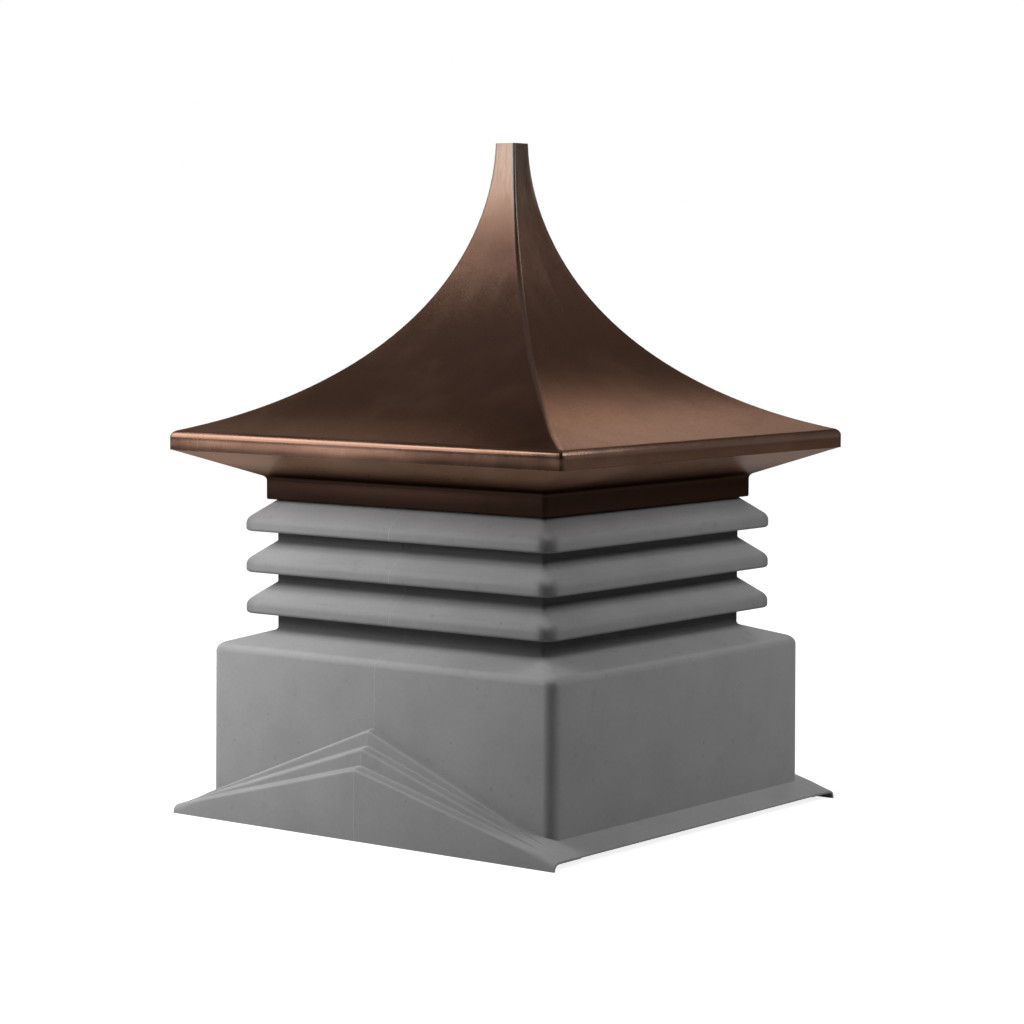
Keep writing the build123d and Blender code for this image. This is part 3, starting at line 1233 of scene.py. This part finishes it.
@dataclass
class FlaredRoof:
    """Four bent copper sheets, soldered and dressed round where they meet at the hips.

    The broad and close waves are a frequency across, one upward and a seed. The hem's wave runs
    across alone, so it is one frequency and two seeds.
    """

    sheet: float = 0.002
    fascia_half: float = 0.380999
    fascia_foot: float = 0.5734
    fascia_round: float = 0.011
    eaves_meet: float = 0.6013
    eaves_slope: float = 0.274
    flare: tuple[Point, ...] = ((0.1863, 0.700), (0.0628, 0.860), (0.018, 1.054))
    hip_rounds: tuple[Point, ...] = ((0.018, 0.0026), (0.060, 0.006), (0.330, 0.011), (0.374, 0.0045))
    flat_columns: int = 56
    hip_steps: int = 12
    fascia_shares: tuple[float, ...] = (0.0, 0.12, 0.34, 0.67, 1.0)
    top_edge_steps: int = 9
    flare_steps: tuple[int, ...] = (18, 14, 12)
    even_share: float = 0.7
    closer_share: float = 0.3
    calm_power: int = 6
    broad_wave: Wave = (7.0, 5.0, 3.7)
    close_wave: Wave = (19.0, 13.0, 9.1)
    hem_wave: Wave = (21.0, 1.3, 5.5)
    ripple: float = 0.0011
    ripple_levels: Point = (1.03, 0.98)
    close_share: float = 0.4
    hem_ripple: float = 0.0007
    hem_top: float = 0.582
    hem_offset: float = -0.6
    hem_lift: float = 0.9
    fade_inset: float = 0.001
    fade_end: float = 0.35
    sharp_angle: float = 44.0

    def bend(
        self, start: Vector, heading: Vector, end: Vector, steps: int,
    ) -> tuple[list[Vector], Vector]:
        """An arc that leaves a point in a given direction and reaches another.

        Args:
            start: the arc's start.
            heading: its direction there.
            end: its end.
            steps: straight runs in it.

        Returns:
            Its points after the start, and its direction at the end.
        """
        normal = Vector((-heading.y, heading.x))
        chord = end - start
        radius = chord.length_squared / (2 * chord.dot(normal))
        centre = start + normal * radius
        turn = 2 * math.atan2(chord.dot(normal), chord.dot(heading))
        points = []
        for step in range(1, steps + 1):
            arm = Matrix.Rotation(turn * step / steps, 2) @ (start - centre)
            points.append(centre + arm)
        return points, Matrix.Rotation(turn, 2) @ heading

    def profile(self) -> list[Vector]:
        """The outer skin's path from the fascia's foot to the tip.

        Returns:
            The path's points, as (half, level).
        """
        slope = math.atan(self.eaves_slope)
        run = self.fascia_round * math.tan((math.pi / 2 - slope) / 2)
        meet = Vector((self.fascia_half, self.eaves_meet))
        uphill = Vector((-math.cos(slope), math.sin(slope)))
        start = meet - Vector((0, run))
        foot = Vector((self.fascia_half, self.fascia_foot))
        path = [foot.lerp(start, share) for share in self.fascia_shares]
        arc, heading = self.bend(start, Vector((0, 1)), meet + uphill * run, self.top_edge_steps)
        path += arc
        for point, steps in zip(self.flare, self.flare_steps):
            arc, heading = self.bend(path[-1], heading, Vector(point), steps)
            path += arc
        return path

    def normals(self, path: list[Vector]) -> list[Vector]:
        """The outward direction at each point of a path that runs up the outer skin.

        Args:
            path: the path's points, as (half, level).

        Returns:
            A unit vector for each point.
        """
        out = []
        for k in range(len(path)):
            along = path[min(k + 1, len(path) - 1)] - path[max(k - 1, 0)]
            along.normalize()
            out.append(Vector((along.y, -along.x)))
        return out

    def hip_round(self, half: float) -> float:
        """The hip's radius in plan where the sheets are this far from the middle."""
        places, radii = zip(*self.hip_rounds)
        return float(np.interp(half, places, radii))

    def plan(self) -> list[tuple[float, float, float]]:
        """One side's stations: share of the flat run, turn into the far hip, and calmness.

        Returns:
            Stations from just past one hip to the end of the next; calmness is 0 at the hips
            and 1 on the flat.
        """
        stations = []
        for k in range(1, self.flat_columns):
            even = 2 * k / self.flat_columns - 1
            closer = math.cos(math.pi * k / self.flat_columns)
            share = self.even_share * even - self.closer_share * closer
            stations.append((share, 0.0, 1 - share**self.calm_power))
        for k in range(self.hip_steps + 1):
            stations.append((1.0, k / self.hip_steps * math.pi / 2, 0.0))
        return stations

    def wave(self, x: float, level: float) -> float:
        """How far the hand-bent sheet dips at a place on its flat run.

        Args:
            x: the place across the side.
            level: its height.

        Returns:
            The distance, 0 or below.
        """
        broad, close = (
            noise.noise(Vector((x * across, level * upward, seed)))
            for across, upward, seed in (self.broad_wave, self.close_wave)
        )
        dip = -abs(broad + self.close_share * close) * self.ripple
        return dip * smooth_step(*self.ripple_levels, level)

    def hem(self, x: float, level: float) -> float:
        """How far the fascia's turned edge is pushed in at a place along it.

        Args:
            x: the place across the side.
            level: its height.

        Returns:
            The distance, 0 or below.
        """
        across, *seeds = self.hem_wave
        dent = noise.noise(Vector((x * across, *seeds))) + self.hem_offset
        return dent * self.hem_ripple * smooth_step(self.hem_top, self.fascia_foot, level)

    def shell(self) -> bpy.types.Mesh:
        """All four sheets in one, a little rippled away from the hips.

        Returns:
            A closed mesh: the outer and the inner skin, joined at the fascia's foot and at the tip.
        """
        path = self.profile()
        out = self.normals(path)
        side = self.plan()
        rows = np.zeros((4 * len(side), 2 * len(path), 3))
        for j, (point, normal) in enumerate(zip(path, out)):
            radius = self.hip_round(point.x)
            fade = smooth_step(self.fascia_half - self.fade_inset, self.fade_end, point.x)
            spread = (1 - math.sqrt(0.5)) * radius * fade
            for inward, place in ((0.0, j), (self.sheet, 2 * len(path) - 1 - j)):
                half = point.x + spread - normal.x * inward
                level = point.y - normal.y * inward
                corner = max(radius - inward, LEAST_CORNER)
                centre = half - corner
                for k, (share, angle, calm) in enumerate(side):
                    x = share * centre + corner * math.sin(angle)
                    y = centre + corner * math.cos(angle)
                    push = self.wave(x, level) * calm
                    hem = self.hem(x, level) * calm
                    y += normal.x * push + hem
                    rows[k, place] = (x, -y, level + normal.y * push - hem * self.hem_lift)
        for quarter in range(1, 4):
            here = quarter * len(side)
            rows[here:here + len(side)] = turned(rows[:len(side)], quarter * QUARTER)
        return grid_mesh(rows, ring=True)

    def build(self, copper: bpy.types.Material) -> None:
        """Builds the sheets.

        Args:
            copper: their finish.
        """
        sheets = [f"roof_panel_{side.label}" for side in Side]
        finish_piece(self.shell(), "flared_roof", copper, sheets, sharp=self.sharp_angle)


# ---------------------------------------------------------------- the studio


@dataclass(frozen=True)
class Panel:
    """A soft square lamp that stands off a point of the cupola; angles are in degrees."""

    name: str
    azimuth: float
    height: float
    distance: float
    size: float
    power: float
    aim: tuple[float, float, float] = (0.0, 0.0, 0.35)

    def build(self) -> None:
        """Adds the lamp, out of the camera's sight."""
        data = bpy.data.lights.new(self.name, "AREA")
        data.shape = "SQUARE"
        data.size = self.size
        data.energy = self.power
        lamp = bpy.data.objects.new(self.name, data)
        around, up = math.radians(self.azimuth), math.radians(self.height)
        out = Vector((math.cos(up) * math.cos(around), math.cos(up) * math.sin(around), math.sin(up)))
        lamp.location = Vector(self.aim) + out * self.distance
        lamp.rotation_euler = out.to_track_quat("Z", "Y").to_euler()
        lamp.visible_camera = False
        bpy.context.scene.collection.objects.link(lamp)


@dataclass
class Studio:
    """A pale floor, a white surround, the camera, and soft lamps on both sides of it and behind.

    The surround and the floor look lighter to the camera than to what they light and to
    reflections. The floor is clear from beneath, so that the cupola shows from below.
    """

    camera_place: tuple[float, float, float] = (2.8332, -3.7167, 0.8556)
    camera_right: tuple[float, float, float] = (0.79540, 0.60606, 0.00446)
    camera_up: tuple[float, float, float] = (-0.05314, 0.06240, 0.99664)
    lens: float = 103.65
    sensor: float = 36.0
    far: float = 60.0
    floor_half: float = 9.0
    floor_tone: float = 0.45
    floor_rough: float = 0.95
    floor_lift: float = 0.86
    lift_reach: Point = (0.8, 1.9)
    fill: float = 0.05
    sheen: float = 0.15
    floor_sheen: float = 0.22
    panels: tuple[Panel, ...] = (
        Panel("key", -128, 34, 1.3, 0.9, 26.6, (-0.15, -0.20, 0.30)),
        Panel("glint", -128, -3, 1.2, 0.38, 0.72, (-0.17, -0.38, 0.585)),
        Panel("right", 25, 33, 2.4, 1.2, 32.5),
        Panel("right_glint", 54, -3, 2.0, 1.0, 0.35, (0.38, 0.05, 0.585)),
        Panel("rear_right", 116, 31, 5.0, 2.0, 30.0, (0.0, 0.0, 0.65)),
        Panel("rear_left", 135, 26, 5.0, 1.8, 8.0, (0.0, 0.0, 0.65)),
    )

    def build_world(self) -> None:
        """White where the camera sees it, and dim for what lights or mirrors in the cupola."""
        world = bpy.data.worlds.new("surround")
        bpy.context.scene.world = world
        world.use_nodes = True
        make = NodeMaker(world.node_tree)
        path = make.add("ShaderNodeLightPath").outputs
        mirrored = make.math("MAXIMUM", path["Is Glossy Ray"], path["Is Transmission Ray"])
        strength = make.math("MULTIPLY_ADD", mirrored, self.sheen - self.fill, self.fill)
        strength = make.math("MAXIMUM", strength, path["Is Camera Ray"])
        back = world.node_tree.nodes["Background"]
        back.inputs["Color"].default_value = (1.0, 1.0, 1.0, 1.0)
        make.feed(back.inputs["Strength"], strength)

    def build_floor(self) -> None:
        """A pale floor, lifted to white for the camera, less so where the shadow falls."""
        edge = self.floor_half
        mesh = bpy.data.meshes.new("studio_floor")
        corners = [(-edge, -edge, 0), (edge, -edge, 0), (edge, edge, 0), (-edge, edge, 0)]
        mesh.from_pydata(corners, [], [(0, 1, 2, 3)])
        floor = bpy.data.objects.new("studio_floor", mesh)
        bpy.context.scene.collection.objects.link(floor)
        material = bpy.data.materials.new("pale_floor")
        material.use_nodes = True
        make = NodeMaker(material.node_tree)
        surface = material.node_tree.nodes["Principled BSDF"]
        surface.inputs["Base Color"].default_value = (self.floor_tone, self.floor_tone, self.floor_tone, 1.0)
        surface.inputs["Roughness"].default_value = self.floor_rough
        surface.inputs["Specular IOR Level"].default_value = 0.0
        surface.inputs["Emission Color"].default_value = (1.0, 1.0, 1.0, 1.0)
        beneath = make.add("ShaderNodeNewGeometry").outputs["Backfacing"]
        make.feed(surface.inputs["Alpha"], make.math("SUBTRACT", 1.0, beneath))
        place = make.add("ShaderNodeTexCoord").outputs["Object"]
        away = make.add("ShaderNodeVectorMath", {0: place}, operation="LENGTH").outputs["Value"]
        lift = make.scaled(make.ramp(away, *self.lift_reach), 1.0 - self.floor_lift, self.floor_lift)
        path = make.add("ShaderNodeLightPath").outputs
        mirrored = make.math("MAXIMUM", path["Is Glossy Ray"], path["Is Transmission Ray"])
        seen = make.math("MAXIMUM", path["Is Camera Ray"], make.math("MULTIPLY", mirrored, self.floor_sheen))
        make.feed(surface.inputs["Emission Strength"], make.math("MULTIPLY", seen, lift))
        mesh.materials.append(material)

    def build_camera(self) -> None:
        """The camera, with no blur and no shift."""
        data = bpy.data.cameras.new("camera")
        data.lens = self.lens
        data.sensor_width = self.sensor
        data.clip_end = self.far
        camera = bpy.data.objects.new("camera", data)
        right, up = Vector(self.camera_right), Vector(self.camera_up)
        back = right.cross(up)
        turn = Matrix((right, up, back)).transposed().to_4x4()
        camera.matrix_world = Matrix.Translation(self.camera_place) @ turn
        bpy.context.scene.collection.objects.link(camera)
        bpy.context.scene.camera = camera

    def build(self) -> None:
        """Builds the whole studio."""
        self.build_world()
        self.build_floor()
        self.build_camera()
        for panel in self.panels:
            panel.build()
        bpy.context.scene.view_settings.view_transform = "Standard"


def dress_kept_nodes(grey: bpy.types.Material, copper: bpy.types.Material) -> None:
    """Gives the CAD nodes that stay in sight their finishes.

    Args:
        grey: the body's finish.
        copper: the roof's finish.
    """
    for name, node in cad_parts.items():
        if node.hide_render:
            continue
        material = grey if name.startswith("neck_rim") else copper
        if not node.material_slots:
            node.data.materials.append(material)
        for slot in node.material_slots:
            slot.material = material
        LOG.info("%s: kept from the frame, dressed in %s", name, material.name)


def main() -> None:
    """Builds the cupola and the studio."""
    logging.basicConfig(level=logging.INFO, format="%(name)s: %(message)s")
    effects = Effects(Mottle(), Streaks(), PlanDistance())
    grey = MouldedGrey().material(effects)
    copper = BrownCopper().material(effects)
    rings = RingTree()
    saddle = RidgeSaddle()
    saddle.build(grey)
    BoxAndShoulder(saddle).build(grey)
    LouvreStack().build(rings, grey)
    CopperSkirt().build(rings, copper)
    FlaredRoof().build(copper)
    dress_kept_nodes(grey, copper)
    Studio().build()


if __name__ == "__main__":
    main()
